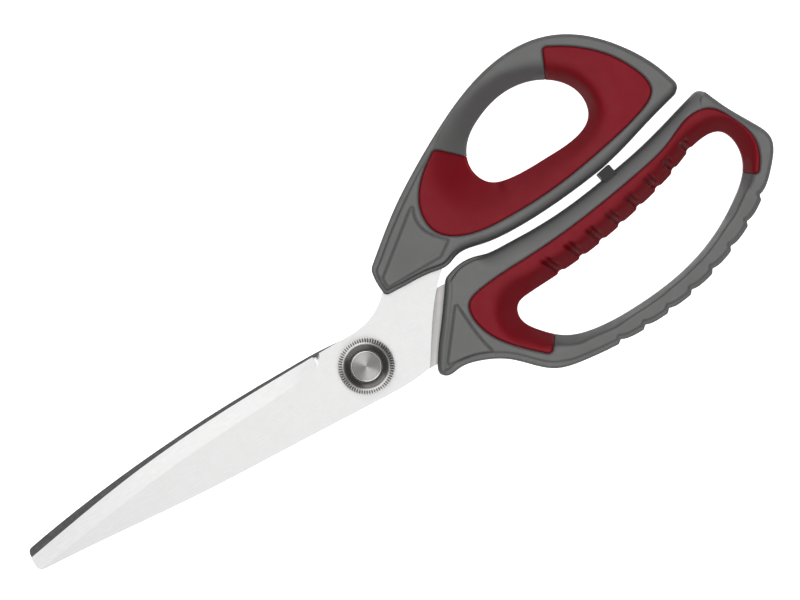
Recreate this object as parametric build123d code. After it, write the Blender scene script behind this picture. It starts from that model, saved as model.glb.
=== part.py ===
# Poultry shears: two stamped steel blades with moulded handles, joined by a keyed bolt and a knurled nut.
# Millimetres. The pivot axis is Z through the origin, and the shears lie on z = 0.
# +X runs from the blades to the handles, +Y to the thumb loop, +Z to the knurled nut.
from build123d import *
import math
import os

os.makedirs("parts", exist_ok=True)

# ---- overall sizes ----
blade_reach = 115.9      # pivot axis to the tips
handle_reach = 139.0     # pivot axis to the far end of the finger loop
handle_t = 12.0          # thickness of both handles
blade_t = 2.95           # thickness of each steel blade
blade_gap = 0.10         # air between the two blades
edge_t = 0.35            # steel left at the cutting edge
edge_round = 1.6         # rounding of the handles' outer rims
hole_round = 2.4         # rounding where a finger goes through
touch = 0.05             # nearer than this, two edges count as meeting

# ---- pivot ----
bolt_r = 4.56            # threaded shank
key_r = bolt_r + 1.64    # corners of the double-D shoulder under the head
key_half = bolt_r + 0.19  # half the distance across its flats
head_r = 8.0
head_chamfer = 0.5
nut_r = 8.52
nut_h = 4.75
nut_rim_r = 6.85         # bright rim around the dish
nut_bevel = 1.6
nut_skirt = 1.5          # how far the nut's skirt hangs over the washers
skirt_air = 0.3          # air between the skirt and the washers
rim_half = 0.1           # half the width of the flat on the bright rim
rim_lip = 0.35           # how far the rim drops before the dish begins
dish_toe = 0.5           # flat at the bottom of the dish
tooth_over = 0.6         # how far the tooth cutter runs past each face
nut_teeth = 64
tooth_w = 0.42
washer_r = 6.9
washer_t = 0.45
friction_r = 7.9
friction_t = 0.75
friction_seat = 0.35     # depth of the counterbore in each blade
spring_t = 0.35
spring_bow = 0.35        # bow left in the spring washer when the nut is tight
spring_inset = 0.2       # spring washer inside the rim of the plain ones
spring_air = 0.3         # air between the spring washer and the shank
run_fit = 0.05           # radial and axial running clearance
bolt_proud = 0.65        # bolt end above the bottom of the nut's dish
dish_depth = 1.65

# ---- handles ----
skin_t = 1.7             # soft grip over the faces
wall_t = 2.2             # soft grip inside the loops
panel_depth = 0.4        # how far the three-cornered panels are sunk
lock_hole_r = 2.4        # holes that the plastic flows through in each tang
bumper_gap = 0.3         # bumper to thumb handle when shut

# ---- the outlines are drawn at these reaches, and stretched to the ones above ----
drawn_blade = 115.9
drawn_handle = 139.0
handle_root = 44.0       # nothing nearer the pivot than this is stretched

# ---- levels ----
mid_z = handle_t / 2
rear_z = mid_z - blade_gap / 2 - blade_t
rear_top = rear_z + blade_t
front_z = mid_z + blade_gap / 2
front_top = front_z + blade_t
front_washer_z = front_top + run_fit
spring_z = front_washer_z + washer_t
spring_h = spring_t + spring_bow
seat_washer_z = spring_z + spring_h
nut_seat_z = seat_washer_z + washer_t + run_fit
nut_z = nut_seat_z - nut_skirt
nut_top = nut_z + nut_h
bolt_top = nut_top - dish_depth + bolt_proud

# ---- ground faces: along X, the cutting edge's Y and the crease's Y ----
front_ground = [(-115.9, 0.45, -4.4), (-100, 3.3, -1.8), (-80, 6.5, 1.2), (-60, 8.65, 3.4), (-40, 9.8, 4.6),
                (-20, 10.3, 5.7)]
rear_ground = [(-115.9, -1.3, 1.4), (-100, -3.6, 0.7), (-80, -5.4, -1.0), (-60, -6.9, -2.2), (-40, -8.0, -3.2),
               (-20, -8.8, -4.1)]
grind_over = 0.6         # how far the grinding wheel runs past the cutting edge
wheel_in = 0.1           # where it leaves, measured from the last station: its edge
wheel_sweep = 0.9        # and its crease
wheel_out = 0.25
ground_end = -10.5       # where the ground face has run out
ground_turn = -13.0      # where its crease begins to sweep round

# ---- outlines: points of smooth runs; a third value makes the point a corner of that radius ----
front_edge = [(x, e) for x, e, c in front_ground[1:]] + [(ground_end, 10.45)]
rear_edge = [(x, e) for x, e, c in rear_ground[1:]] + [(ground_end, -9.2)]
thumb_steel = (
    [(-115.9, 0.45, 0.5), (-115.6, -4.35, 2.4), (-100, -5.3), (-80, -6.9), (-60, -8.4), (-40, -9.25),
     (-20, -10.0), (0, -10.8), (6, -10.95), (16.2, -10.0, 0.9), (22.6, 0), (28.2, 7.7), (34.6, 14.2, 2.0),
     (40, 17.0), (60, 17.2), (86, 19.0, 2.0), (85, 24.6, 2.0), (66, 22.6), (54, 25.5), (47, 33.5, 3.0),
     (36, 30.5), (25, 24.8), (15.2, 16.7), (10.2, 12.8), (5, 10.95), (0, 10.45, 8.0)]
    + front_edge[::-1]
)
finger_steel = (
    [(-115.9, -1.3, 0.5)] + rear_edge
    + [(0, -9.8), (17, -10.2), (30, -10.0), (40, -8.4), (48, -4.4), (58, -1.3), (74, 0.9), (88.6, 3.6, 2.0),
       (87.6, 8.4, 2.0), (74, 6.2), (60, 5.0), (46, 6.2), (34, 9.6, 3.0), (20, 9.9), (6, 10.05), (-3, 10.5),
       (-10, 11.0), (-20, 11.15), (-40, 10.9), (-60, 9.95), (-80, 8.2), (-100, 5.6), (-110, 3.95),
       (-115.6, 2.9, 1.8)]
)
thumb_outer = [
    (15.5, 15.3, 1.5), (15.1, 20.5), (15.6, 24.4, 3), (22.2, 29.9), (31.2, 36.9), (42.2, 44), (55.1, 51.2),
    (70, 57.6), (84, 60.2), (94.8, 58.9), (104.7, 53.9), (113.7, 44.8), (120, 34.3), (123.2, 24.8, 3.2),
    (110, 21.3), (95, 16.9), (80, 14.45), (64, 13.3), (55, 13.45), (48.5, 14.3), (43, 15.4), (39.6, 15.1),
    (36.4, 14), (31, 14.5), (24, 15),
]
thumb_hole = [
    (56.8, 36), (59.4, 29.5), (66, 27.2), (78, 27.1), (88, 27.9), (94.9, 31.4), (96.3, 38.2), (92.9, 44.7),
    (86, 49.1), (77, 50.4), (67, 47.8), (59, 42),
]
finger_outer = [
    (17.4, -11.1, 1.8), (33.6, 10.9, 3.0), (41, 12.55), (47.5, 11.4), (60, 10.65), (75, 11.1), (90, 13.1),
    (105, 16.1), (118, 19.8), (127.8, 22.6, 2.6), (131.3, 14.4), (136.6, 5.2), (138.85, -1.6), (135.5, -7.9),
    (127.4, -15.9), (115, -23.2), (100, -28.8), (85, -31.6), (70, -32.2), (58, -31.0), (49, -28.4), (39, -19.9),
    (30, -15.3), (24, -14.6), (17.4, -14.9, 1.8),
]
finger_hole = [
    (47.2, -9.8), (50.3, -16.6), (56.6, -22.0), (66, -24.7), (80, -25.0), (95, -23.2), (110, -18),
    (120.1, -11.6), (127.4, -4.6), (129.3, 2), (127.0, 7.9), (121.4, 8.9), (110, 5.2), (95, 0.6), (80, -2.7),
    (65, -4.5), (53, -5.4),
]
thumb_seam = [
    (60.4, 36.6, 1), (53, 43.3), (49.8, 46, 1.6), (41.2, 39.2), (37, 31), (38, 24.4), (46, 18.9),
    (58, 17.4), (75, 18), (95, 21.3), (108, 24.6), (114.9, 28.8), (113.4, 37.6), (106.2, 47.6),
    (97.8, 53.9), (93, 56.4, 1.4), (88.2, 44.6, 1),
]
finger_seam = [
    (55.8, -17.6, 1), (49.8, -24.7, 1.4), (40.7, -15.9), (35.3, -6.6), (35.9, 0.8), (42, 3.1), (60, 4.3),
    (80, 6.3), (100, 9.7), (112, 13), (121, 16.5), (127.4, 15.4), (132, 9), (134.4, 1.5), (132.6, -5.4),
    (130, -9.1, 1.4), (123.4, -3, 1),
]
thumb_panel = [
    (17.3, 17, 0.6), (17.3, 20.2, 0.8), (36.6, 35.6, 0.6), (34.8, 31.5), (34.9, 27.6), (36.6, 24.2),
    (40.3, 20.4, 0.4), (35.6, 17.1, 0.8),
]
finger_panel = [
    (20.9, -12, 0.8), (32.6, 3.2, 0.6), (33.1, -4), (33.8, -10), (35.2, -15.4, 0.4), (30.5, -13.5),
    (25, -12.5),
]
bow_notches = [
    (69.4, -32.1), (78, -32), (86.7, -31.3), (95.4, -29.7), (104, -27.5), (112.2, -24.5), (120.2, -20.4),
    (127.6, -15.6),
]
bow_notch_r = 0.9
rib_feet = [
    (64.4, -4.8), (72.2, -3.9), (79.8, -2.9), (87.2, -1.5), (94.5, 0.3), (102, 2.5), (109, 4.7),
    (116, 7.1),
]
rib_r = 0.75
rib_run = 6.2            # how far the rib grooves reach over the grip
rib_turn = 108           # degrees from +X that they run
rib_depth = 0.6
bumper_x = 91.2
bumper_w = 4.4
bumper_h = 9.0
bumper_foot = 2.2        # how deep the bumper is set into the finger handle
bumper_low = 13.2        # finger handle's edge at the bumper
bumper_high = 16.0       # thumb handle's edge there
bumper_turn = 12         # degrees, square to that edge
bumper_round = 0.4


def reach(p):
    """Stretches a drawn point to the reaches set above."""
    x = p[0]
    if x < 0:
        x = x * blade_reach / drawn_blade
    if x > handle_root:
        x = handle_root + (x - handle_root) * (handle_reach - handle_root) / (drawn_handle - handle_root)
    return (x, *p[1:])


def outline(drawn):
    """Flat face inside a drawn outline."""
    points = [reach(p) for p in drawn]
    first = next((i for i, p in enumerate(points) if len(p) == 3), None)
    if first is None:
        return make_face(Spline(*points, periodic=True)).face()
    ring = points[first:] + points[:first + 1]
    edges = []
    run = [ring[0][:2]]
    for p in ring[1:]:
        run.append(p[:2])
        if len(p) == 3:
            edges.append(Line(*run) if len(run) == 2 else Spline(*run))
            run = [p[:2]]
    face = make_face(edges).face()
    for p in points:
        if len(p) == 3:
            near = min(face.vertices(), key=lambda v: (v.X - p[0]) ** 2 + (v.Y - p[1]) ** 2)
            face = face.fillet_2d(p[2], [near])
    return face


def grown(face, by):
    """A smooth loop's face made larger all round."""
    wire = face.outer_wire()
    count = 40
    points = []
    for i in range(count):
        at = wire @ (i / count)
        along = wire % (i / count)
        side = Vector(along.Y, -along.X, 0)
        if face.is_inside(at + side * 0.01):
            side = -side
        points.append(at + side * by)
    return make_face(Spline(*points, periodic=True)).face()


def slab(face, z0, z1):
    """The face made solid between two levels."""
    return extrude(Pos(0, 0, z0) * face, amount=z1 - z0, dir=(0, 0, 1))


def disc(r, z0, z1):
    """Round plug on the pivot axis."""
    return Pos(0, 0, z0) * extrude(Circle(r), amount=z1 - z0)


def ring_disc(r_out, r_in, z0, z1):
    """Flat washer on the pivot axis."""
    return Pos(0, 0, z0) * extrude(Circle(r_out) - Circle(r_in), amount=z1 - z0)


def ground_face(ground, side, top):
    """What the grinder takes off: from the crease on the blade's face out to the thin cutting edge."""
    flat = front_top if top else rear_z
    low = (front_z + edge_t) if top else (rear_top - edge_t)
    up = 1 if top else -1

    def section(x, edge, crease):
        slope = (flat - low) / abs(edge - crease)
        out = edge + side * grind_over
        deep = low - slope * grind_over
        corners = [(x, crease, flat), (x, out, deep), (x, out, flat + up), (x, crease, flat + up)]
        return Wire.make_polygon([Vector(*q) for q in corners], close=True)

    last = ground[-1]
    edge = last[1] + side * wheel_in
    turn = (ground_turn, edge, last[2] + side * wheel_sweep)
    leave = (ground_end + wheel_in, edge, last[1] - side * wheel_out)
    start = (ground[0][0] - 1.5, *ground[0][1:])
    stations = [reach(g) for g in [start] + ground[1:]]
    long_run = Solid.make_loft([section(*g) for g in stations])
    sweep = Solid.make_loft([section(*g) for g in (stations[-1], turn, leave)], ruled=True)
    return [long_run, sweep]


def blade(points, z0, holes):
    """Flat steel with its tang holes."""
    steel = slab(outline(points), z0, z0 + blade_t)
    for x, y in holes:
        x, y = reach((x, y))
        steel -= Pos(x, y, z0) * Cylinder(lock_hole_r, 4 * blade_t)
    return steel


def make_thumb_blade():
    """Front blade: round pivot hole, seat for the friction washer, ground face on top."""
    steel = blade(thumb_steel, front_z, [(26, 19), (42, 25), (70, 20)])
    steel -= disc(bolt_r + run_fit, front_z - 1, front_top + 1)
    steel -= disc(friction_r + run_fit, front_z - 1, front_z + friction_seat)
    return steel - ground_face(front_ground, 1, True)


def make_finger_blade():
    """Rear blade: double-D hole that holds the bolt, seat for the friction washer, ground face below."""
    steel = blade(finger_steel, rear_z, [(38, 0), (52, 2), (74, 3.6)])
    steel -= key_shape(rear_z - 1, rear_top + 1)
    steel -= disc(friction_r, rear_top - friction_seat, rear_top + 1)
    return steel - ground_face(rear_ground, -1, False)


def key_shape(z0, z1):
    """Round bar with two flats."""
    return Pos(0, 0, z0) * extrude(Circle(key_r) & Rectangle(2 * key_r, 2 * key_half), amount=z1 - z0)


def make_bolt():
    """Low flat head, double-D shoulder held in the rear blade, round shank up through the nut."""
    head = Cylinder(head_r, rear_z - washer_t, align=(Align.CENTER, Align.CENTER, Align.MIN))
    head = chamfer(head.edges().group_by(Axis.Z)[0], head_chamfer)
    shank = Cylinder(bolt_r, bolt_top, align=(Align.CENTER, Align.CENTER, Align.MIN))
    shank = chamfer(shank.edges().group_by(Axis.Z)[-1], head_chamfer)
    return head + key_shape(rear_z - washer_t, rear_top - friction_seat) + shank


def make_nut():
    """Knurled nut: skirt over the washers, bevelled edge with teeth, dish around the bolt end."""
    dish_r = bolt_r + run_fit
    bevel_z = nut_top - nut_bevel
    skirt_r = washer_r + skirt_air
    dish_z = nut_top - dish_depth
    profile = Polyline(
        (dish_r, nut_seat_z), (skirt_r, nut_seat_z), (skirt_r, nut_z), (nut_r, nut_z), (nut_r, bevel_z),
        (nut_rim_r + rim_half, nut_top - rim_half), (nut_rim_r - rim_half, nut_top),
        (nut_rim_r - rim_lip, nut_top - rim_lip), (dish_r + dish_toe, dish_z), (dish_r, dish_z),
        close=True)
    nut = revolve(Plane.XZ * make_face(profile), Axis.Z)
    slope = math.hypot(nut_bevel, nut_r - nut_rim_r)
    tilt = math.degrees(math.atan2(nut_bevel, nut_r - nut_rim_r))
    mid_r = (nut_r + nut_rim_r) / 2
    bevel_at = Pos(mid_r, 0, nut_top - nut_bevel / 2) * Rot(0, tilt, 0)
    bevel_rod = bevel_at * Rot(45, 0, 0) * Box(slope + tooth_over, tooth_w, tooth_w)
    side_at = Pos(nut_r, 0, (nut_z + bevel_z - tooth_over) / 2)
    side_rod = side_at * Rot(0, 0, 45) * Box(tooth_w, tooth_w, bevel_z - nut_z + tooth_over)
    teeth = []
    for i in range(nut_teeth):
        turn = Rot(0, 0, 360 * i / nut_teeth)
        teeth += [turn * bevel_rod, turn * side_rod]
    return nut - teeth


def make_spring():
    """Curved spring washer, pressed nearly flat by the nut."""
    r_out = washer_r - spring_inset
    big = (r_out ** 2 + spring_bow ** 2) / (2 * spring_bow)
    lie = Pos(0, 0, spring_z + spring_bow - big) * Rot(90, 0, 0)
    shell = lie * Cylinder(big + spring_t, 4 * r_out) - lie * Cylinder(big, 4 * r_out)
    return shell & ring_disc(r_out, bolt_r + spring_air, spring_z, spring_z + spring_h)


def moulding(outer, hole):
    """Whole handle, plastic and soft grip together, with rounded rims."""
    body = slab(outline(outer), 0, handle_t)
    body = fillet(body.edges().group_by(Axis.Z)[0] + body.edges().group_by(Axis.Z)[-1], edge_round)
    tool = slab(outline(hole), -1, handle_t + 1)
    body -= tool
    loop = outline(hole)
    rims = [e for z in (0, handle_t) for e in body.edges().filter_by_position(Axis.Z, z - touch, z + touch)]
    inner = [e for e in rims if loop.distance_to(Vertex((e @ 0.5).X, (e @ 0.5).Y, 0)) < touch]
    return fillet(inner, hole_round)


def sunk(panel):
    """What is cut from both faces to sink a panel into them."""
    face = outline(panel)
    return [slab(face, handle_t - panel_depth, handle_t + 1), slab(face, -1, panel_depth)]


def split_grip(whole, hole, seam):
    """Soft grip: both faces inside the seam and the loop's wall, moulded over a thinner core."""
    region = slab(outline(seam), -1, handle_t + 1)
    core = slab(outline(seam), skin_t, handle_t - skin_t)
    core -= slab(grown(outline(hole), wall_t), -1, handle_t + 1)
    grip = (whole & region) - core
    return whole - grip, grip


def rib_groove(foot, z0, z1):
    """Groove from the loop's edge out over the grip."""
    x, y = reach(foot)
    bar = extrude(Rectangle(rib_run, rib_r), amount=z1 - z0)
    return Pos(x, y, z0) * Rot(0, 0, rib_turn) * Pos(rib_run / 2, 0, 0) * bar


def make_bumper():
    """Block set into the finger handle that the thumb handle shuts against."""
    x, edge = reach((bumper_x, bumper_low))
    low = edge - bumper_foot
    top = bumper_high - bumper_gap
    block = Pos(x, (low + top) / 2, mid_z) * Rot(0, 0, bumper_turn) * Box(bumper_w, top - low, bumper_h)
    return fillet(block.edges().filter_by(Axis.Z), bumper_round)


thumb_blade = make_thumb_blade()
finger_blade = make_finger_blade()
bumper = make_bumper()

thumb_whole = moulding(thumb_outer, thumb_hole) - sunk(thumb_panel)
thumb_handle, thumb_grip = split_grip(thumb_whole, thumb_hole, thumb_seam)
thumb_handle -= thumb_blade

finger_whole = moulding(finger_outer, finger_hole) - sunk(finger_panel)
for x, y in bow_notches:
    x, y = reach((x, y))
    finger_whole -= Pos(x, y, mid_z) * Cylinder(bow_notch_r, 2 * handle_t)
finger_handle, finger_grip = split_grip(finger_whole, finger_hole, finger_seam)
finger_handle -= finger_blade
finger_handle -= bumper
for foot in rib_feet:
    x, y = reach(foot)
    finger_grip -= Pos(x, y, mid_z) * Cylinder(rib_r, 2 * handle_t)
    finger_grip -= rib_groove(foot, handle_t - rib_depth, handle_t + 1)
    finger_grip -= rib_groove(foot, -1, rib_depth)

nodes = {
    "thumb_blade": thumb_blade,
    "finger_blade": finger_blade,
    "thumb_handle": thumb_handle,
    "finger_handle": finger_handle,
    "thumb_grip": thumb_grip,
    "finger_grip": finger_grip,
    "handle_bumper": bumper,
    "pivot_bolt": make_bolt(),
    "pivot_nut": make_nut(),
    "bolt_head_washer": ring_disc(head_r - head_chamfer, key_r, rear_z - washer_t, rear_z),
    "blade_friction_washer": ring_disc(friction_r, bolt_r, rear_top - friction_seat,
                                       rear_top - friction_seat + friction_t),
    "front_washer": ring_disc(washer_r, bolt_r, front_washer_z, spring_z),
    "spring_washer": make_spring(),
    "nut_seat_washer": ring_disc(washer_r, bolt_r + run_fit, seat_washer_z, seat_washer_z + washer_t),
}
for name, shape in nodes.items():
    shape.label = name
    export_step(shape, f"parts/{name}.step")
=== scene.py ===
"""Poultry shears: steel blades on a knurled pivot, moulded grey handles with soft red grips."""
import math

import bpy
import numpy as np
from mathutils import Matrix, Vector


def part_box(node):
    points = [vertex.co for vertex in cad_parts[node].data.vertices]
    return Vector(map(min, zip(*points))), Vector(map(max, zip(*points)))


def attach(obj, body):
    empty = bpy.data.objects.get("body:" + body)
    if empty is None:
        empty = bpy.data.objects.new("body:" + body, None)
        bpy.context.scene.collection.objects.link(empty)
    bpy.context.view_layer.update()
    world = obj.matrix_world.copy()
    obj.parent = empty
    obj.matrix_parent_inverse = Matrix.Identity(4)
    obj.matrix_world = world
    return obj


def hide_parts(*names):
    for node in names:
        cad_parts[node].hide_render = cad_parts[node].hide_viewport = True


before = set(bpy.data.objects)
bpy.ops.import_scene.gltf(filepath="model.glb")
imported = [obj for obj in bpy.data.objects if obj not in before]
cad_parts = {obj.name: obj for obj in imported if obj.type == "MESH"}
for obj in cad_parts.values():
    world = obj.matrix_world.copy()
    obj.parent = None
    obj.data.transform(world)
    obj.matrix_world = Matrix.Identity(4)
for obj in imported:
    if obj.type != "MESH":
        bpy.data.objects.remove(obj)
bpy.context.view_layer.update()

MM = 0.001
VOXEL = 0.28        # mm, size of the cells that the mouldings are meshed with
HANDLE_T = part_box("thumb_handle")[1][2] / MM     # mm, thickness of the handles
MID_Z = HANDLE_T / 2

# ---------------------------------------------------------------- outlines, in mm
# Points of smooth runs, as in the CAD. A third value makes the point a corner of that radius.
THUMB_OUTER = [
    (15.5, 15.3, 1.5), (15.1, 20.5), (15.6, 24.4, 3.0), (22.2, 29.9), (31.2, 36.9), (42.2, 44.0),
    (55.1, 51.2), (70, 57.6), (84, 60.2), (94.8, 58.9), (104.7, 53.9), (113.7, 44.8), (120, 34.3),
    (123.2, 24.8, 3.2), (110, 21.3), (95, 16.9), (80, 14.45), (64, 13.3), (55, 13.45), (48.5, 14.3),
    (43, 15.4), (39.6, 15.1), (36.4, 14.0), (31, 14.5), (24, 15.0),
]
THUMB_HOLE = [
    (56.8, 36), (59.4, 29.5), (66, 27.2), (78, 27.1), (88, 27.9), (94.9, 31.4), (96.3, 38.2),
    (92.9, 44.7), (86, 49.1), (77, 50.4), (67, 47.8), (59.0, 42),
]
THUMB_SEAM = [
    (60.4, 36.6, 1.0), (53.0, 43.3), (49.8, 46.0, 1.6), (41.2, 39.2), (37.0, 31), (38.0, 24.4),
    (46, 18.9), (58, 17.4), (75, 18.0), (95, 21.3), (108, 24.6), (114.9, 28.8), (113.4, 37.6),
    (106.2, 47.6), (97.8, 53.9), (93.0, 56.4, 1.4), (88.2, 44.6, 1.0),
]
THUMB_PANEL = [
    (17.3, 17.0, 0.6), (17.3, 20.2, 0.8), (36.6, 35.6, 0.6), (34.8, 31.5), (34.9, 27.6), (36.6, 24.2),
    (40.3, 20.4, 0.4), (35.6, 17.1, 0.8),
]
FINGER_OUTER = [
    (33.6, 10.9, 3.0), (40, 12.6), (44.5, 12.2), (47.3, 11.4), (54, 10.8), (62, 10.6), (75, 11.1),
    (90, 13.1), (105, 16.0), (118, 19.6), (127.8, 22.5, 2.6), (131.3, 14.4), (136.5, 5.2),
    (138.8, -1.6), (135.4, -7.9), (127.3, -15.8), (115, -23.2), (100, -28.8), (85, -31.5), (70, -32.1),
    (57.5, -31.1), (48.6, -28.8), (38.7, -20.1), (30, -15.5), (23.5, -14.5), (19.6, -14.6),
    (17.9, -12.9), (18.7, -10.3), (25.9, 0),
]
FINGER_HOLE = [
    (47.2, -9.9), (50.4, -16.5), (56.6, -21.9), (66, -24.6), (80, -24.9), (95, -23.1), (110, -18.1),
    (120.2, -12.0), (127.5, -4.9), (129.3, 2), (127.0, 7.8), (121.2, 8.8), (110, 5.0), (95, 0.4),
    (80, -2.9), (65, -4.8), (53, -5.5), (48.7, -6.7),
]
FINGER_SEAM = [
    (55.8, -17.6, 1.0), (49.8, -24.7, 1.4), (40.7, -15.9), (35.3, -6.6), (35.9, 0.8), (42, 3.1),
    (60, 4.3), (80, 6.3), (100, 9.7), (112, 13.0), (121, 16.5), (127.4, 15.4), (132.0, 9), (134.4, 1.5),
    (132.6, -5.4), (130.0, -9.1, 1.4), (123.4, -3.0, 1.0),
]
FINGER_PANEL = [
    (20.9, -12.0, 0.8), (32.6, 3.2, 0.6), (33.1, -4), (33.8, -10), (35.2, -15.4, 0.4), (30.5, -13.5),
    (25, -12.5),
]
BOW_NOTCHES = [
    (69.4, -32.1), (78, -32.0), (86.7, -31.3), (95.4, -29.7), (104, -27.5), (112.2, -24.5),
    (120.2, -20.4), (127.6, -15.6),
]
RIB_FEET = [
    (64.4, -4.8), (72.2, -3.9), (79.8, -2.9), (87.2, -1.5), (94.5, 0.3), (102, 2.5), (109, 4.7),
    (116, 7.1),
]
RIB_LEAN = (19, -3.4)    # degrees that the first and the last rib lean from square across the grip
RIB_REACH = (6.9, 4.9)   # mm that the first and the last rib run up from the loop

# How the faces bank down into the loops: x, y, width, depth, softness of the crest.
THUMB_BANK = [
    (57, 36, 13, 5.8, 3.5), (59, 29, 10, 5.2, 2.5), (66, 27, 5.5, 3.4, 1.6), (80, 27, 4.6, 3.4, 1.0),
    (91, 29.2, 4.0, 4.4, 1.0), (96.3, 38, 3.2, 5.4, 0.9), (93, 44.7, 3.6, 5.4, 1.0),
    (88, 48.2, 3.2, 5.4, 1.2), (84, 49.8, 4.4, 5.5, 0.9), (77, 50.4, 5.4, 5.6, 0.6),
    (69, 48.8, 6.0, 5.7, 0.8), (62, 45, 7.0, 5.8, 1.1), (58.5, 41, 9.0, 5.8, 2.0),
]
FINGER_BANK = [
    (47.2, -9.9, 6.6, 5.6, 0.8), (49, -6.5, 6.4, 5.6, 0.8), (50.4, -16.5, 4.6, 5.2, 0.8),
    (58, -5.3, 5.2, 5.6, 0.6), (80, -2.9, 5.0, 5.5, 0.6), (95, 0.4, 4.8, 5.4, 0.6),
    (110, 5, 4.8, 5.2, 0.6), (122, 8.8, 4.6, 5.2, 0.6), (128.5, 5, 4.4, 5.0, 0.5),
    (129, 0, 4.2, 5.0, 0.5), (127.5, -4.9, 3.0, 5.0, 0.4), (120.2, -12, 1.9, 4.6, 0.15),
    (110, -18.1, 1.3, 4.2, 0.12), (95, -23.1, 1.3, 4.0, 0.12), (80, -24.9, 1.6, 4.2, 0.12),
    (66, -24.6, 2.1, 4.6, 0.15), (57, -22, 3.0, 5.2, 0.2),
]
# The line around the outer rims, and how deep the ledge outside it lies: x, y, distance in, depth.
THUMB_RIM = [
    (15.2, 20, 1.3, 0.9), (18, 27, 1.9, 0.7), (31, 37, 1.9, 0.7), (45, 46, 1.7, 0.6),
    (60, 53.5, 1.0, 0.5), (85, 60, 0.8, 0.5), (105, 54, 0.7, 0.4), (120, 34, 0.9, 0.4),
    (123, 26, 1.0, 0.4), (26, 15, 1.2, 0.9), (36, 14, 1.2, 0.9),
]
FINGER_RIM = [
    (18, -12, 1.7, 0.8), (26, 0, 1.7, 0.9), (33, 10, 1.5, 0.8), (40, 12.6, 1.1, 0.7),
    (46, 11.8, 1.0, 0.7), (24, -14.5, 1.9, 0.6), (38.7, -20, 1.9, 0.4), (48.6, -28.8, 1.9, 0.4),
    (57.5, -31.1, 1.6, 0.6), (80, -32, 1.4, 0.7), (100, -28.8, 1.3, 0.7), (120, -20.6, 1.1, 0.6),
    (127, -16, 1.0, 0.5), (132, -11.5, 0.7, 0.3), (138.8, -1.6, 0.6, 0.3), (131, 15, 0.6, 0.3),
    (128, 22, 0.8, 0.4),
]

# Depths and widths of the moulded details, in mm.
LINE_STEP = 0.5          # length of the straight pieces that stand for a smooth run
SEAM_GROOVE = (0.55, 0.45)       # width and depth of the groove where grip and handle meet
PANEL_GROOVE = (0.6, 0.35)       # and of the groove around the three-cornered panels
LEFT_RIB = (1.1, 1.0)
RIGHT_RIB = (0.9, 0.8)
BOW_STEP = (1.0, 1.5, 1.8)       # height, rise and run of a step in the finger handle's bow
SMALL_ROUND = (0.9, 0.9)         # rounding of the outer rims: width and depth
THUMB_BAR_ROUND = (3.0, 3.6)     # rounding of the thumb handle's lower bar
FINGER_BAR_ROUND = (5.6, 4.4)    # and of the finger handle's upper bar
FRONT_ROUND = (2.0, 2.2)         # and of the finger handle's front, with a faint ledge inside it
FRONT_LEDGE = 0.15
CORE = 0.5               # what the slopes leave at the mid plane
HOLE_REACH = 18          # how far out from a loop its distance is worked out


def smooth_run(points, closed=False):
    """Interpolating cubic spline through the points, as short straight pieces."""
    p = np.array(points, float)
    if closed:
        p = np.vstack([p, p[:1]])
    gap = np.linalg.norm(np.diff(p, axis=0), axis=1)
    t = np.concatenate([[0], np.cumsum(gap)])
    n = len(p)
    if n == 2:
        bend = np.zeros((2, 2))
    else:
        # second derivatives at the points
        a = np.zeros((n, n))
        b = np.zeros((n, 2))
        h = np.diff(t)
        for i in range(1, n - 1):
            a[i, i - 1], a[i, i], a[i, i + 1] = h[i - 1], 2 * (h[i - 1] + h[i]), h[i]
            b[i] = 6 * ((p[i + 1] - p[i]) / h[i] - (p[i] - p[i - 1]) / h[i - 1])
        if closed:
            a[0, 0], a[0, 1], a[0, n - 2], a[0, n - 1] = 2 * h[0], h[0], h[-1], 2 * h[-1]
            b[0] = 6 * ((p[1] - p[0]) / h[0] - (p[-1] - p[-2]) / h[-1])
            a[n - 1, 0], a[n - 1, n - 1] = 1, -1
        else:
            a[0, 0] = a[n - 1, n - 1] = 1
        bend = np.linalg.solve(a, b)
    s = np.linspace(0, t[-1], max(3, int(t[-1] / LINE_STEP)))
    k = np.clip(np.searchsorted(t, s, side="right") - 1, 0, n - 2)
    h = (t[k + 1] - t[k])[:, None]
    u = ((s - t[k]) / (t[k + 1] - t[k]))[:, None]
    v = 1 - u
    return v * p[k] + u * p[k + 1] + ((v ** 3 - v) * bend[k] + (u ** 3 - u) * bend[k + 1]) * h * h / 6


def cut_back(run, length):
    """A run with that length taken off its end."""
    gap = np.linalg.norm(np.diff(run, axis=0), axis=1)
    t = np.concatenate([[0], np.cumsum(gap)])
    stop = max(t[-1] - length, t[-1] * 0.5)
    keep = run[t < stop]
    end = np.array([np.interp(stop, t, run[:, 0]), np.interp(stop, t, run[:, 1])])
    return np.vstack([keep, end])


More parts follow.
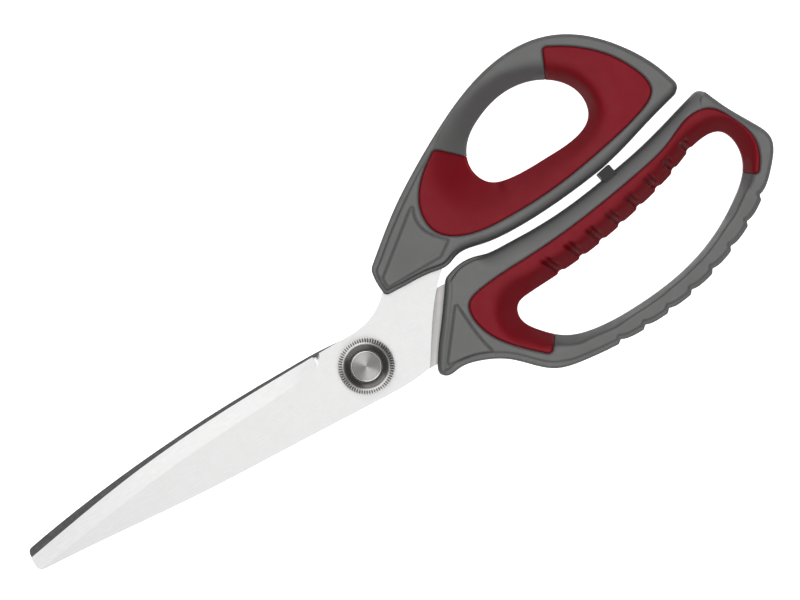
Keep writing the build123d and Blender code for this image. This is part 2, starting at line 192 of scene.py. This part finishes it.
def outline(points):
    """Closed line of short straight pieces along a drawn outline, its corners rounded."""
    first = next((i for i, p in enumerate(points) if len(p) == 3), None)
    if first is None:
        return smooth_run(points, closed=True)[:-1]
    ring = points[first:] + points[:first + 1]
    runs, radii, run = [], [], [ring[0][:2]]
    for p in ring[1:]:
        run.append(p[:2])
        if len(p) == 3:
            runs.append(smooth_run(run))
            radii.append(p[2])
            run = [p[:2]]
    count = len(runs)
    trims = []
    for i in range(count):
        a, b = runs[i], runs[(i + 1) % count]
        d0 = (a[-1] - a[-2]) / np.linalg.norm(a[-1] - a[-2])
        d1 = (b[1] - b[0]) / np.linalg.norm(b[1] - b[0])
        turn = math.acos(max(-1, min(1, float(d0 @ d1))))
        trims.append(radii[i] * math.tan(turn / 2))
    trimmed = []
    for i in range(count):
        r = cut_back(runs[i], trims[i])
        r = cut_back(r[::-1], trims[i - 1])[::-1]
        trimmed.append(r)
    line = []
    for i in range(count):
        a, b = trimmed[i], trimmed[(i + 1) % count]
        line.append(a)
        corner = runs[i][-1]
        u = np.linspace(0, 1, 7)[1:-1, None]
        weight = 0.75
        blend = (1 - u) ** 2 + 2 * weight * u * (1 - u) + u ** 2
        line.append(((1 - u) ** 2 * a[-1] + 2 * weight * u * (1 - u) * corner + u ** 2 * b[0]) / blend)
    line = np.vstack(line)
    keep = np.linalg.norm(np.diff(np.vstack([line, line[:1]]), axis=0), axis=1) > 1e-6
    return line[keep]


def signed(line, gx, gy, reach=9.0):
    """Distance from the closed line at each grid point, positive inside, cut off at reach."""
    far = np.full((len(gx), len(gy)), reach, np.float32)
    a, b = line, np.roll(line, -1, axis=0)
    for i in range(len(a)):
        lo, hi = np.minimum(a[i], b[i]) - reach, np.maximum(a[i], b[i]) + reach
        i0, i1 = np.searchsorted(gx, [lo[0], hi[0]])
        j0, j1 = np.searchsorted(gy, [lo[1], hi[1]])
        if i0 == i1 or j0 == j1:
            continue
        dx = gx[i0:i1, None] - a[i, 0]
        dy = gy[None, j0:j1] - a[i, 1]
        ex, ey = b[i] - a[i]
        u = np.clip((dx * ex + dy * ey) / (ex * ex + ey * ey), 0, 1)
        d = np.hypot(dx - u * ex, dy - u * ey)
        np.minimum(far[i0:i1, j0:j1], d, out=far[i0:i1, j0:j1])
    inside = np.zeros(far.shape, bool)
    for i in range(len(a)):
        y0, y1 = sorted((a[i, 1], b[i, 1]))
        j0, j1 = np.searchsorted(gy, [y0, y1])
        if j0 == j1:
            continue
        x = a[i, 0] + (gy[j0:j1] - a[i, 1]) * (b[i, 0] - a[i, 0]) / (b[i, 1] - a[i, 1])
        inside[:, j0:j1] ^= gx[:, None] > x[None, :]
    return np.where(inside, far, -far)


def smoothstep(x, a, b):
    """0 below a, 1 above b, and a smooth ramp between them."""
    t = np.clip((x - a) / (b - a), 0, 1)
    return t * t * (3 - 2 * t)


def shoulder(d, wide, deep):
    """Relief of an elliptical rounding: deep at d = 0, nothing from wide on."""
    t = np.clip(1 - d / wide, 0, 1)
    return deep * (1 - np.sqrt(np.clip(1 - t * t, 0, 1)))


def groove(d, wide, deep):
    """Relief of a rounded groove along d = 0."""
    return deep * np.exp(-(d / (0.5 * wide)) ** 2)


def surface_net(f, low, h):
    """Closed mesh around f > 0, one vertex to each mixed cell."""
    s = f > 0
    count = np.zeros(tuple(n - 1 for n in f.shape), np.int8)
    corners = [(i, j, k) for i in (0, 1) for j in (0, 1) for k in (0, 1)]
    nx, ny, nz = count.shape
    for i, j, k in corners:
        count += s[i:i + nx, j:j + ny, k:k + nz]
    cells = np.argwhere((count > 0) & (count < 8))
    index = np.full(count.shape, -1, np.int32)
    index[tuple(cells.T)] = np.arange(len(cells))
    total = np.zeros((len(cells), 3))
    hits = np.zeros(len(cells))
    for axis in range(3):
        others = [x for x in range(3) if x != axis]
        for p in (0, 1):
            for q in (0, 1):
                at = cells.copy()
                at[:, others[0]] += p
                at[:, others[1]] += q
                to = at.copy()
                to[:, axis] += 1
                fa, fb = f[tuple(at.T)], f[tuple(to.T)]
                cross = (fa > 0) != (fb > 0)
                t = fa[cross] / (fa[cross] - fb[cross])
                place = at[cross].astype(float)
                place[:, axis] += t
                total[cross] += place
                hits[cross] += 1
    verts = low + h * total / hits[:, None]
    quads = []
    for axis in range(3):
        others = [x for x in range(3) if x != axis]
        lower = [slice(None)] * 3
        upper = [slice(None)] * 3
        lower[axis], upper[axis] = slice(0, -1), slice(1, None)
        change = s[tuple(lower)] != s[tuple(upper)]
        edge = np.argwhere(change)
        ok = (edge[:, others[0]] > 0) & (edge[:, others[1]] > 0)
        ok &= (edge[:, others[0]] < f.shape[others[0]] - 1) & (edge[:, others[1]] < f.shape[others[1]] - 1)
        edge = edge[ok]
        ring = []
        for p, q in ((0, 0), (1, 0), (1, 1), (0, 1)):
            at = edge.copy()
            at[:, others[0]] -= p
            at[:, others[1]] -= q
            ring.append(index[tuple(at.T)])
        ring = np.stack(ring, 1)
        flip = s[tuple(edge.T)]
        if axis == 1:
            flip = ~flip
        ring[~flip] = ring[~flip][:, ::-1]
        quads.append(ring)
    return verts, np.vstack(quads)


def mesh_object(name, verts, quads, attributes=None):
    """Blender mesh from arrays in mm."""
    mesh = bpy.data.meshes.new(name)
    mesh.vertices.add(len(verts))
    mesh.vertices.foreach_set("co", (verts * MM).astype(np.float32).ravel())
    mesh.loops.add(quads.size)
    mesh.loops.foreach_set("vertex_index", quads.astype(np.int32).ravel())
    mesh.polygons.add(len(quads))
    mesh.polygons.foreach_set("loop_start", np.arange(0, quads.size, quads.shape[1], dtype=np.int32))
    mesh.polygons.foreach_set("use_smooth", np.ones(len(quads), bool))
    mesh.update(calc_edges=True)
    mesh.validate()
    for key, values in (attributes or {}).items():
        layer = mesh.attributes.new(key, "FLOAT", "POINT")
        layer.data.foreach_set("value", values.astype(np.float32))
    piece = bpy.data.objects.new(name, mesh)
    bpy.context.scene.collection.objects.link(piece)
    return piece


class Moulding:
    """A handle with its grip, as a relief on both faces inside its outlines."""

    def __init__(self, outer, hole, seam, panel):
        edge, ring = outline(outer), outline(hole)
        low, high = edge.min(0) - 1.5, edge.max(0) + 1.5
        self.gx = np.arange(low[0], high[0], VOXEL)
        self.gy = np.arange(low[1], high[1], VOXEL)
        layers = math.ceil(MID_Z / VOXEL)
        self.gz = MID_Z + VOXEL * (np.arange(-layers - 2, layers + 3) + 0.37)
        self.x, self.y = np.meshgrid(self.gx, self.gy, indexing="ij")
        self.out = signed(edge, self.gx, self.gy)
        self.hole = -signed(ring, self.gx, self.gy, HOLE_REACH)
        self.seam = signed(outline(seam), self.gx, self.gy)
        self.panel = signed(outline(panel), self.gx, self.gy)
        self.relief = np.zeros_like(self.out)

    def mesh(self, name, part):
        """Closed mesh of the grip (part 1) or of the handle (part -1)."""
        b = MID_Z - np.abs(self.gz - MID_Z)
        face = b[None, None, :] - self.relief[:, :, None]
        wall = np.minimum(self.out, self.hole)
        f = np.minimum(face, np.minimum(wall, part * self.seam)[:, :, None])
        low = np.array([self.gx[0], self.gy[0], self.gz[0]])
        verts, quads = surface_net(f.astype(np.float32), low, VOXEL)
        # steep and line carry painted shade to the materials: a darker colour in the slopes and in the
        # grooves.
        steep = np.clip(np.hypot(*np.gradient(self.relief, VOXEL)), 0, 2)
        fields = {"rim": self.out, "steep": steep, "line": self.line}
        values = {key: self.at(field, verts) for key, field in fields.items()}
        return mesh_object(name, verts, quads, values)

    def at(self, field, verts):
        """Values of a flat field at the vertices."""
        u = np.clip((verts[:, 0] - self.gx[0]) / VOXEL, 0, len(self.gx) - 1.001)
        v = np.clip((verts[:, 1] - self.gy[0]) / VOXEL, 0, len(self.gy) - 1.001)
        i, j = u.astype(int), v.astype(int)
        u, v = u - i, v - j
        low = field[i, j] * (1 - u) + field[i + 1, j] * u
        high = field[i, j + 1] * (1 - u) + field[i + 1, j + 1] * u
        return low * (1 - v) + high * v


def between(m, spots):
    """Fields that pass smoothly through values given at a few places: x, y, value, value..."""
    totals = [np.zeros_like(m.x) for _ in spots[0][2:]]
    weights = np.zeros_like(m.x)
    for x, y, *values in spots:
        w = 1 / ((m.x - x) ** 2 + (m.y - y) ** 2 + 4) ** 2
        weights += w
        for total, value in zip(totals, values):
            total += w * value
    return [total / weights for total in totals]


def bank(d, wide, deep, soft):
    """Relief of a flat slope down to d = 0, with a softened crest at wide."""
    return deep / wide * soft * np.logaddexp(0, (wide - d) / soft)


def ledge(d, wide, deep):
    """Relief of a rim set down outside a line, with a groove along the line."""
    return deep * (1 - smoothstep(d, wide - 0.35, wide + 0.35)) + groove(d - wide, 0.7, 0.15)


def notch(u):
    """Relief of a rib's notch in the loop's edge, with a bulge before it."""
    dip = smoothstep(u, -1.2, -0.1) * (1 - 0.85 * smoothstep(u, 0.5, 1.9))
    return 0.62 * dip * np.exp(-np.clip(u - 2, 0, 9) / 2)


def saw(u, deep, rise, run):
    """A tooth's step: up over the length rise, and back slowly over run."""
    return deep * smoothstep(u, -0.6 * rise, 0.4 * rise) * np.exp(-np.clip(u - 0.4 * rise, 0, None) / run)


def each_place(m, places):
    """Coordinates along and across a row of places, one place at a time."""
    for i, (x, y) in enumerate(places):
        ahead = places[min(i + 1, len(places) - 1)]
        behind = places[max(i - 1, 0)]
        along = math.atan2(ahead[1] - behind[1], ahead[0] - behind[0])
        c, s = math.cos(along), math.sin(along)
        yield c * (m.x - x) + s * (m.y - y), c * (m.y - y) - s * (m.x - x)


def thumb_moulding():
    """Thumb handle and grip: banked loop, ledge along the rim, rounder bar below."""
    m = Moulding(THUMB_OUTER, THUMB_HOLE, THUMB_SEAM, THUMB_PANEL)
    face_y = np.gradient(m.out, VOXEL)[1]
    bar = smoothstep(face_y, 0.2, 0.8) * smoothstep(m.x, 36, 43)
    in_by, drop = between(m, THUMB_RIM)
    rim = ledge(m.out, in_by, drop) + shoulder(m.out, *SMALL_ROUND)
    rim = rim * (1 - bar) + shoulder(m.out, *THUMB_BAR_ROUND) * bar
    wide, deep, soft = between(m, THUMB_BANK)
    m.relief = np.maximum(rim, bank(m.hole, wide, deep, soft))
    m.relief += groove(m.seam, *SEAM_GROOVE) + groove(m.panel, *PANEL_GROOVE)
    m.relief = np.minimum(m.relief, MID_Z - CORE)
    # line marks the panel and rim grooves for painted shade.
    m.line = np.maximum(groove(m.panel, 0.5, 1), groove(m.out - in_by, 0.6, 0.6) * (1 - bar))
    return m


def finger_moulding():
    """Finger handle and grip: stepped bow, pairs of slanted rib grooves, rounder bar above."""
    m = Moulding(FINGER_OUTER, FINGER_HOLE, FINGER_SEAM, FINGER_PANEL)
    for u, v in each_place(m, BOW_NOTCHES):
        m.out -= saw(u, *BOW_STEP) * (1 - smoothstep(np.abs(v), 2.5, 4.5))
    ribs = np.zeros_like(m.x)
    for i, (u, v) in enumerate(each_place(m, RIB_FEET)):
        share = i / (len(RIB_FEET) - 1)
        lean = math.tan(math.radians(RIB_LEAN[0] + share * (RIB_LEAN[1] - RIB_LEAN[0])))
        top = RIB_REACH[0] + share * (RIB_REACH[1] - RIB_REACH[0])
        m.hole -= notch(u) * (1 - smoothstep(np.abs(v), 0.4, 3.5))
        left = u + 0.5 + lean * v
        right = u - 1.25 + (lean - 0.1) * v + 0.022 * v * v
        fade = 1 - smoothstep(v, top - 1.8, top)
        ribs += groove(left, *LEFT_RIB) * smoothstep(v, 0.2, 2.0) * fade
        ribs += groove(right, *RIGHT_RIB) * smoothstep(v, 1.0, 3.2) * fade
    face_y = np.gradient(m.out, VOXEL)[1]
    bar = smoothstep(-face_y, 0.3, 0.8) * smoothstep(m.x, 44, 50)
    in_by, drop = between(m, FINGER_RIM)
    rim = ledge(m.out, in_by, drop) + shoulder(m.out, *SMALL_ROUND)
    front = smoothstep(np.gradient(m.out, VOXEL)[0], 0.5, 0.75) * (1 - smoothstep(m.x, 33, 37))
    round_front = shoulder(m.out, *FRONT_ROUND) + ledge(m.out, FRONT_ROUND[0], FRONT_LEDGE)
    rim = rim * (1 - front) + round_front * front
    rim = rim * (1 - bar) + shoulder(m.out, *FINGER_BAR_ROUND) * bar
    wide, deep, soft = between(m, FINGER_BANK)
    m.relief = np.maximum(rim, bank(m.hole, wide, deep, soft))
    m.relief += groove(m.seam, *SEAM_GROOVE) + groove(m.panel, *PANEL_GROOVE) + ribs
    m.relief = np.minimum(m.relief, MID_Z - CORE)
    # line marks the panel, rim and rib grooves for painted shade.
    m.line = np.maximum(groove(m.panel, 0.5, 1), groove(m.out - in_by, 0.6, 0.15) * (1 - bar) * (1 - front))
    m.line = np.maximum(m.line, np.clip(1.6 * ribs, 0, 1.6))
    return m


# ---------------------------------------------------------------- turned pieces
NUT_TEETH = 64
TOOTH_STEPS = 12         # rays to a tooth
TOOTH_DEPTH = 0.32       # mm, inwards on the side
TOOTH_DROP = 0.22        # mm, down on the bevel
TURN_STEP = 0.12         # mm between rings
BOLT_RAYS = 256
KEY_HALF = 4.75          # mm, half the distance across the flats of the bolt's shoulder
HEAD_WASHER = 0.45       # mm


def lathe(profile, count):
    """Radius, height and angle of points round the pivot axis, a row to each point of the profile."""
    run = []
    for (r0, z0), (r1, z1) in zip(profile, profile[1:] + profile[:1]):
        steps = max(1, int(math.hypot(r1 - r0, z1 - z0) / TURN_STEP))
        run += [(r0 + (r1 - r0) * k / steps, z0 + (z1 - z0) * k / steps) for k in range(steps)]
    run = np.array(run)
    turn = np.linspace(0, 2 * math.pi, count, endpoint=False)[None, :]
    return run[:, :1] + 0 * turn, run[:, 1:] + 0 * turn, turn + 0 * run[:, :1]


def ring_mesh(name, r, z, turn, attributes):
    """Closed mesh through the rings of a lathe."""
    rings, count = r.shape
    verts = np.stack([r * np.cos(turn), r * np.sin(turn), z], axis=2).reshape(-1, 3)
    i, j = np.meshgrid(np.arange(rings), np.arange(count), indexing="ij")
    i2, j2 = (i + 1) % rings, (j + 1) % count
    quads = np.stack([i * count + j, i * count + j2, i2 * count + j2, i2 * count + j], axis=2).reshape(-1, 4)
    return mesh_object(name, verts, quads, {key: a.reshape(-1) for key, a in attributes.items()})


def turned_nut(name, low, top):
    """Knurled nut: a turned profile whose bevel and side carry rounded teeth."""
    dish = [(5.0, top - 3.0), (5.0, top - 1.75), (5.1, top - 1.7), (5.35, top - 1.5), (5.75, top - 1.12),
            (6.35, top - 0.62), (6.62, top - 0.22)]
    rim = [(6.78, top - 0.04), (6.92, top), (7.04, top - 0.07), (7.16, top - 0.28)]
    side = [(7.5, top - 0.62), (8.0, top - 1.15), (8.32, top - 1.5), (8.47, top - 1.85), (8.5, top - 2.6),
            (8.5, low + 0.4), (8.3, low)]
    under = [(7.25, low), (7.2, low + 1.5), (5.0, low + 1.5)]
    r, z, turn = lathe(dish + rim + side + under, NUT_TEETH * TOOTH_STEPS)
    valley = 1 - (0.5 - 0.5 * np.cos(turn * NUT_TEETH)) ** 0.6
    reach = smoothstep(r, 7.05, 7.5) * smoothstep(z, low + 0.1, low + 0.5)
    # Painted shade: the dish inside the rim and the valleys between the teeth get a darker colour through
    # gap.
    dish_shade = (1 - smoothstep(r, 6.3, 6.7)) * (z > top - 1.8)
    gap = np.maximum(0.75 * reach * valley, 0.7 * dish_shade)
    down = TOOTH_DROP * reach * valley * smoothstep(z, top - 1.9, top - 1.2)
    return ring_mesh(name, r - TOOTH_DEPTH * reach * valley, z - down, turn, {"gap": gap})


def turned_bolt(name, top):
    """Bolt: low head, double-D shoulder, plain shank with a rounded rim around its spun end."""
    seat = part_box("blade_friction_washer")[0][2] / MM
    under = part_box("finger_blade")[0][2] / MM - HEAD_WASHER
    head = [(0.02, 0), (7.5, 0), (7.85, 0.15), (8.0, 0.5), (8.0, under)]
    shoulder_and_shank = [(6.2, under), (6.2, seat), (4.56, seat), (4.58, top - 0.3), (4.57, top - 0.08)]
    rim = [(4.5, top - 0.01), (4.4, top), (4.28, top - 0.01), (4.2, top - 0.08), (4.14, top - 0.28)]
    end = [(4.0, top - 0.3), (2.0, top - 0.31), (0.02, top - 0.32)]
    r, z, turn = lathe(head + shoulder_and_shank + rim + end, BOLT_RAYS)
    flat = KEY_HALF / np.maximum(np.abs(np.sin(turn)), 0.01)
    keyed = (z > under - 0.01) & (z < seat + 0.01) & (r < 6.3)
    r = np.where(keyed, np.minimum(r, flat), r)
    return ring_mesh(name, r, z, turn, {"polish": smoothstep(r, 4.12, 4.2) * (z > top - 0.2)})


# ---------------------------------------------------------------- materials
BRUSHED = (1, 8, 8)      # how the brushed steel's noise is squeezed along each axis
SCRATCH = 0.00001        # m, height of the scratches and turning rings
BLADE_TONES = ((0.82, 0.815, 0.81), (0.73, 0.73, 0.73))
# Where the rear blade's painted dark reflection lies.
BAND_ROOT = 0.010        # the dark band's lower edge is a parabola about x = -10 mm
BAND_BOW = 0.88          # 1/m, how fast it bends
BAND_LOW = 0.0094        # m, its height over the axis at the root
TANG_LEAN = math.radians(57)     # the bare strip of the rear tang is streaked this way


def node_at(tree, kind, **sockets):
    """New node with some of its inputs set."""
    n = tree.nodes.new(kind)
    for key, value in sockets.items():
        n.inputs[key.replace("_", " ")].default_value = value
    return n


def blank(name, rough=0.5, metal=0.0, **sockets):
    """New material and its parts."""
    m = bpy.data.materials.new(name)
    m.use_nodes = True
    tree = m.node_tree
    shader = tree.nodes["Principled BSDF"]
    shader.inputs["Roughness"].default_value = rough
    shader.inputs["Metallic"].default_value = metal
    for key, value in sockets.items():
        shader.inputs[key.replace("_", " ")].default_value = value
    place = tree.nodes.new("ShaderNodeTexCoord").outputs["Object"]
    return m, tree, shader, place


def noise(tree, place, scale, detail=3.0, stretch=None):
    """Noise with that many cells to the metre, drawn out along an axis if asked."""
    if stretch:
        mapping = node_at(tree, "ShaderNodeMapping", Scale=stretch)
        tree.links.new(place, mapping.inputs["Vector"])
        place = mapping.outputs["Vector"]
    n = node_at(tree, "ShaderNodeTexNoise", Scale=scale, Detail=detail)
    tree.links.new(place, n.inputs["Vector"])
    return n.outputs["Fac"]


def spread(tree, value, low, high, to_low=0.0, to_high=1.0):
    """Value mapped from one range to another."""
    n = node_at(tree, "ShaderNodeMapRange", From_Min=low, From_Max=high, To_Min=to_low, To_Max=to_high)
    tree.links.new(value, n.inputs["Value"])
    return n.outputs["Result"]


def mixed(tree, factor, a, b):
    """Colour mix: a and b are colours or sockets."""
    n = tree.nodes.new("ShaderNodeMix")
    n.data_type = "RGBA"
    tree.links.new(factor, n.inputs[0])
    for socket, value in ((n.inputs[6], a), (n.inputs[7], b)):
        if isinstance(value, tuple):
            socket.default_value = (*value, 1)
        else:
            tree.links.new(value, socket)
    return n.outputs[2]


def bumped(tree, shader, heights):
    """Bumps over each other: (height socket, distance in m, strength)."""
    last = None
    for height, distance, strength in heights:
        n = node_at(tree, "ShaderNodeBump", Distance=distance, Strength=strength)
        tree.links.new(height, n.inputs["Height"])
        if last:
            tree.links.new(last, n.inputs["Normal"])
        last = n.outputs["Normal"]
    tree.links.new(last, shader.inputs["Normal"])


def calculate(tree, operation, a, b):
    """Math node of two inputs, each a number or a socket."""
    n = tree.nodes.new("ShaderNodeMath")
    n.operation = operation
    for socket, value in zip(n.inputs, (a, b)):
        if isinstance(value, (int, float)):
            socket.default_value = value
        else:
            tree.links.new(value, socket)
    return n.outputs[0]


def attribute(tree, name):
    """Value carried by the mesh's vertices."""
    n = tree.nodes.new("ShaderNodeAttribute")
    n.attribute_name = name
    return n.outputs["Fac"]


def plastic(name, colour, worn, shaded, rough, level):
    """Moulded plastic: fine spark texture, scuffed rims, painted shade in the slopes and grooves."""
    m, tree, shader, place = blank(name, rough, Specular_IOR_Level=level)
    cloud = spread(tree, noise(tree, place, 60, 4), 0.3, 0.7)
    base = mixed(tree, cloud, tuple(0.94 * c for c in colour), tuple(1.06 * c for c in colour))
    # Painted shade: the steeper the moulded slope, the more the colour goes to the shaded tone.
    steep = spread(tree, attribute(tree, "steep"), 0.05, 1.3)
    base = mixed(tree, steep, base, shaded)
    # Painted shade in the grooves: the colour goes towards a darker copy of the shaded tone.
    line = spread(tree, attribute(tree, "line"), 0.2, 1.2, 0.0, 0.85)
    base = mixed(tree, line, base, tuple(0.6 * c for c in shaded))
    scuff = spread(tree, noise(tree, place, 1600, 5), 0.5, 0.85, 0.0, 0.4)
    edge = spread(tree, attribute(tree, "rim"), 1.6, 0.2)
    base = mixed(tree, calculate(tree, "MULTIPLY", scuff, edge), base, worn)
    tree.links.new(base, shader.inputs["Base Color"])
    tree.links.new(spread(tree, noise(tree, place, 250, 4), 0.3, 0.7, rough - 0.06, rough + 0.08),
                   shader.inputs["Roughness"])
    spark = (noise(tree, place, 2600, 2), 0.00004, 0.35)
    ripple = (noise(tree, place, 700, 3), 0.00005, 0.2)
    bumped(tree, shader, [spark, ripple])
    return m


def steel(name, light, dark, rough):
    """Brushed steel: fine streaks along one way, over a faint mottle."""
    m, tree, shader, place = blank(name, rough, 1.0)
    streak = noise(tree, place, 260, 4, BRUSHED)
    base = mixed(tree, spread(tree, streak, 0.3, 0.7), dark, light)
    base = mixed(tree, spread(tree, noise(tree, place, 500, 4), 0.35, 0.75, 0.0, 0.5), base, dark)
    tree.links.new(base, shader.inputs["Base Color"])
    tree.links.new(spread(tree, streak, 0.3, 0.7, rough - 0.04, rough + 0.06), shader.inputs["Roughness"])
    bumped(tree, shader, [(noise(tree, place, 900, 3, BRUSHED), SCRATCH, 0.12)])
    return m, tree, shader, place, base


def rear_blade_steel():
    """Blade steel with a painted dark reflection along the inner face's spine, and streaks of painted shadow
    and reflection across the bare tang.
    """
    m, tree, shader, place, base = steel("rear_blade_steel", *BLADE_TONES, 0.36)
    split = tree.nodes.new("ShaderNodeSeparateXYZ")
    tree.links.new(place, split.inputs[0])
    x, y, z = split.outputs
    # Painted dark reflection: the inner face's spine, where it shows past the front blade, is coloured dark.
    back = calculate(tree, "ADD", x, BAND_ROOT)
    curve = calculate(tree, "MULTIPLY", calculate(tree, "MULTIPLY", back, back), BAND_BOW)
    inside = calculate(tree, "ADD", y, curve)
    band = spread(tree, inside, BAND_LOW, BAND_LOW + 0.0003)
    ahead = spread(tree, x, -0.001, -0.002)
    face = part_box("finger_blade")[1][2]
    top = spread(tree, z, face - 0.0002, face - 0.0001)
    painted_reflection_mask = calculate(tree, "MULTIPLY", calculate(tree, "MULTIPLY", band, ahead), top)
    grain = spread(tree, noise(tree, place, 700, 4), 0.3, 0.7)
    dark = mixed(tree, grain, (0.085, 0.085, 0.085), (0.12, 0.12, 0.12))
    base = mixed(tree, painted_reflection_mask, base, dark)
    # Painted shadow and reflection: darker brownish streaks on the bare strip of the rear tang, along the
    # front blade's edge.
    lean = node_at(tree, "ShaderNodeMapping", Rotation=(0, 0, -TANG_LEAN))
    tree.links.new(place, lean.inputs["Vector"])
    painted_shade_stripe = spread(tree, noise(tree, lean.outputs["Vector"], 500, 3, (0.05, 1, 1)), 0.35, 0.65, 0.25, 0.8)
    tang = calculate(tree, "MULTIPLY", painted_shade_stripe, spread(tree, x, 0.013, 0.016))
    tree.links.new(mixed(tree, tang, base, (0.40, 0.375, 0.37)), shader.inputs["Base Color"])
    return m


def turned(name, light, dark, rough):
    """Steel turned on a lathe: fine rings about the pivot, which spread reflections outwards."""
    m, tree, shader, place = blank(name, rough, 1.0, Anisotropic=0.95)
    shader.inputs["Anisotropic Rotation"].default_value = 0.25
    away = tree.nodes.new("ShaderNodeVectorMath")
    away.operation = "LENGTH"
    flat = node_at(tree, "ShaderNodeMapping", Scale=(1, 1, 0))
    tree.links.new(place, flat.inputs["Vector"])
    tree.links.new(flat.outputs["Vector"], away.inputs[0])
    rings = node_at(tree, "ShaderNodeTexNoise", Scale=3500, Detail=3)
    rings.noise_dimensions = "1D"
    tree.links.new(away.outputs["Value"], rings.inputs["W"])
    base = mixed(tree, spread(tree, rings.outputs["Fac"], 0.35, 0.65), dark, light)
    base = mixed(tree, spread(tree, noise(tree, place, 1200, 3), 0.5, 0.75, 0, 0.4), base, dark)
    tree.links.new(base, shader.inputs["Base Color"])
    dull = spread(tree, rings.outputs["Fac"], 0.3, 0.7, rough - 0.05, rough + 0.06)
    polish = spread(tree, attribute(tree, "polish"), 0, 1, 1.0, 0.45)
    tree.links.new(calculate(tree, "MULTIPLY", dull, polish), shader.inputs["Roughness"])
    bumped(tree, shader, [(rings.outputs["Fac"], SCRATCH, 0.15)])
    tangent = tree.nodes.new("ShaderNodeTangent")
    tangent.direction_type = "RADIAL"
    tangent.axis = "Z"
    tree.links.new(tangent.outputs[0], shader.inputs["Tangent"])
    return m


def knurled(name, light, dark, rough):
    """Turned steel with painted shade between the teeth and in the dish."""
    m = turned(name, light, dark, rough)
    tree = m.node_tree
    shader = next(n for n in tree.nodes if n.type == "BSDF_PRINCIPLED")
    clean = shader.inputs["Base Color"].links[0].from_socket
    # Painted shade: the colour goes dark where gap is set.
    gap = spread(tree, attribute(tree, "gap"), 0.15, 0.85)
    tree.links.new(mixed(tree, gap, clean, (0.13, 0.127, 0.12)), shader.inputs["Base Color"])
    return m


# The fourth value of each plastic is the colour of its painted shade in slopes and grooves.
GREY = plastic("handle_grey", (0.132, 0.132, 0.130), (0.20, 0.20, 0.20), (0.062, 0.062, 0.062), 0.45, 0.3)
RED = plastic("grip_red", (0.190, 0.007, 0.014), (0.21, 0.016, 0.027), (0.120, 0.001, 0.004), 0.5, 0.16)
STEEL = steel("blade_steel", *BLADE_TONES, 0.36)[0]
REAR_STEEL = rear_blade_steel()
TURNED = turned("turned_steel", (0.70, 0.69, 0.68), (0.58, 0.57, 0.56), 0.56)
KNURLED = knurled("knurled_steel", (0.72, 0.71, 0.70), (0.52, 0.51, 0.50), 0.28)
DARK = plastic("bumper_black", (0.035, 0.035, 0.035), (0.06, 0.06, 0.06), (0.02, 0.02, 0.02), 0.6, 0.25)


# ---------------------------------------------------------------- pieces
thumb = thumb_moulding()
finger = finger_moulding()
for m, side, body in ((thumb, "thumb", "thumb_half"), (finger, "finger", "finger_half")):
    for part, kind, paint, slot in ((-1, "handle", GREY, "handle_plastic"), (1, "grip", RED, "soft_grip")):
        piece = m.mesh(f"{side}_{kind}_moulded", part)
        piece.data.materials.append(paint)
        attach(piece, body)
        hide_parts(f"{side}_{kind}")

for node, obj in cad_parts.items():
    paint = {"handle_bumper": DARK, "thumb_blade": STEEL, "finger_blade": REAR_STEEL}.get(node, TURNED)
    for slot in obj.material_slots:
        slot.material = paint

# The nut and the bolt, drawn again with rounded teeth and a polished rim.
nut_low, nut_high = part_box("pivot_nut")
nut_piece = turned_nut("knurled_nut", nut_low[2] / MM, nut_high[2] / MM)
nut_piece.data.materials.append(KNURLED)
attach(nut_piece, "nut")
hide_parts("pivot_nut")
bolt_piece = turned_bolt("spun_bolt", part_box("pivot_bolt")[1][2] / MM)
bolt_piece.data.materials.append(TURNED)
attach(bolt_piece, "finger_half")
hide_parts("pivot_bolt")

# ---------------------------------------------------------------- stage, light and camera
FLOOR_SIZE = 8           # m
FLOOR_DROP = 0.0002      # m below the shears, so that the two don't touch
SHEARS = (0.02, 0, 0)    # m, what most lamps point at
VIEW_CENTRE = (0.0186, 0.0121)
VIEW_HEIGHT = 1.0        # m over the shears' mid plane
VIEW_TURN = math.radians(-30)

scene = bpy.context.scene
scene.view_settings.view_transform = "Standard"
world = bpy.data.worlds.new("studio")
world.use_nodes = True
world.node_tree.nodes["Background"].inputs["Color"].default_value = (1, 1, 1, 1)
world.node_tree.nodes["Background"].inputs["Strength"].default_value = 0.05
scene.world = world

bpy.ops.mesh.primitive_plane_add(size=FLOOR_SIZE, location=(0, 0, -FLOOR_DROP))
floor = bpy.context.object
floor.name = "floor"
paper, tree, shader, place = blank("floor_white", 0.9, Specular_IOR_Level=0.0, Emission_Strength=0.9)
shader.inputs["Emission Color"].default_value = (1, 1, 1, 1)
paper_tone = mixed(tree, noise(tree, place, 2), (0.93, 0.93, 0.93), (0.95, 0.95, 0.95))
tree.links.new(paper_tone, shader.inputs["Base Color"])
floor.data.materials.append(paper)


def softbox(name, place, target, size, power):
    """Rectangular lamp: place, target and size in m, power in W."""
    light = bpy.data.lights.new(name, "AREA")
    light.shape = "RECTANGLE"
    light.size, light.size_y = size
    light.energy = power
    lamp = bpy.data.objects.new(name, light)
    lamp.location = place
    lamp.rotation_euler = (Vector(target) - Vector(place)).to_track_quat("-Z", "Y").to_euler()
    scene.collection.objects.link(lamp)
    return lamp


softbox("overhead", (0.02, 0, 1.6), SHEARS, (1.3, 3.2), 16)
softbox("upper", (0.02, 1.5, 0.95), SHEARS, (2.4, 1.5), 12)
softbox("lower", (0.02, -1.4, 1.0), SHEARS, (2.2, 1.2), 6)
key = softbox("key", (0.02, 0.01, 1.5), (0.02, 0.01, 0), (1.2, 0.7), 9)
key.visible_glossy = False

cam = bpy.data.cameras.new("camera")
cam.lens = 150
cam.sensor_width = 36
camera = bpy.data.objects.new("camera", cam)
camera.location = (*VIEW_CENTRE, MID_Z * MM + VIEW_HEIGHT)
camera.rotation_euler = (0, 0, VIEW_TURN)
scene.collection.objects.link(camera)
scene.camera = camera
